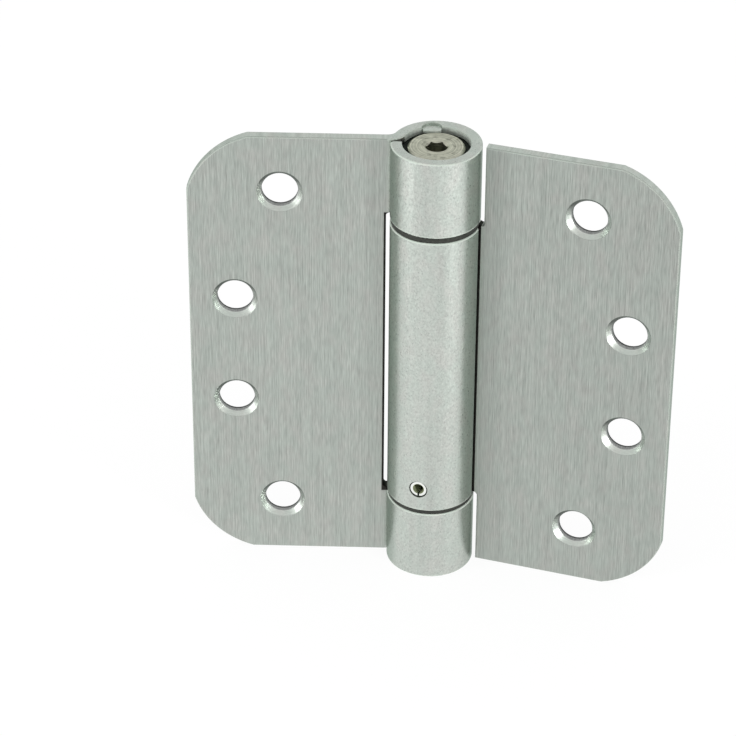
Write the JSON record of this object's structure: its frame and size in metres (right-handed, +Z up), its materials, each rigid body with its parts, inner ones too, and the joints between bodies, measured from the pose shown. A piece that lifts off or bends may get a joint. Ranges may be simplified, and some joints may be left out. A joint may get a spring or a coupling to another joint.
{
  "type": "spring loaded door hinge",
  "caption": "Self-closing full mortise door hinge: two round-cornered leaves on a barrel that hides a torsion spring, with a hex adjuster in the top knuckle.",
  "frame": {"origin": "on the pin axis at the bottom end of the bottom knuckle", "axes": "+Z up along the pin axis; the frame leaf points along -X and its countersunk face looks along -Y"},
  "size_m": [0.1004, 0.0225, 0.1016],
  "materials": {
    "satin_plate": "satin chrome plating over brushed sheet steel",
    "bare_steel": "turned, unplated",
    "blackened_steel": "black oxide",
    "spring_steel": "oil tempered wire",
    "pin_steel": "bright, unplated",
    "black_nylon": "moulded black nylon"
  },
  "bodies": {
    "frame": {"frame_leaf": "satin_plate", "lock_bush": "blackened_steel", "top_washer": "black_nylon", "bottom_washer": "black_nylon", "bottom_bearing": "black_nylon", "bottom_cap": "satin_plate"},
    "door": {"barrel_leaf": "satin_plate", "top_bearing": "black_nylon", "torsion_spring": "spring_steel", "guide_rod": "bare_steel", "lower_plug": "bare_steel", "roll_pin": "pin_steel"},
    "adjuster": {"tension_adjuster": "bare_steel"}
  },
  "joints": [
    {"name": "leaf_swing", "type": "hinge", "parent": "frame", "child": "door", "pos_m": [0, 0, 0.0508], "axis": [0, 0, 1], "range_deg": [-164, 16], "stiffness_Nm_per_rad": 0.272, "deforming": ["torsion_spring"]},
    {"name": "adjuster_press", "type": "slide", "parent": "frame", "child": "adjuster", "axis": [0, 0, -1], "range_m": [0, 0.0024], "stiffness_N_per_m": 7400, "deforming": ["torsion_spring"]}
  ]
}
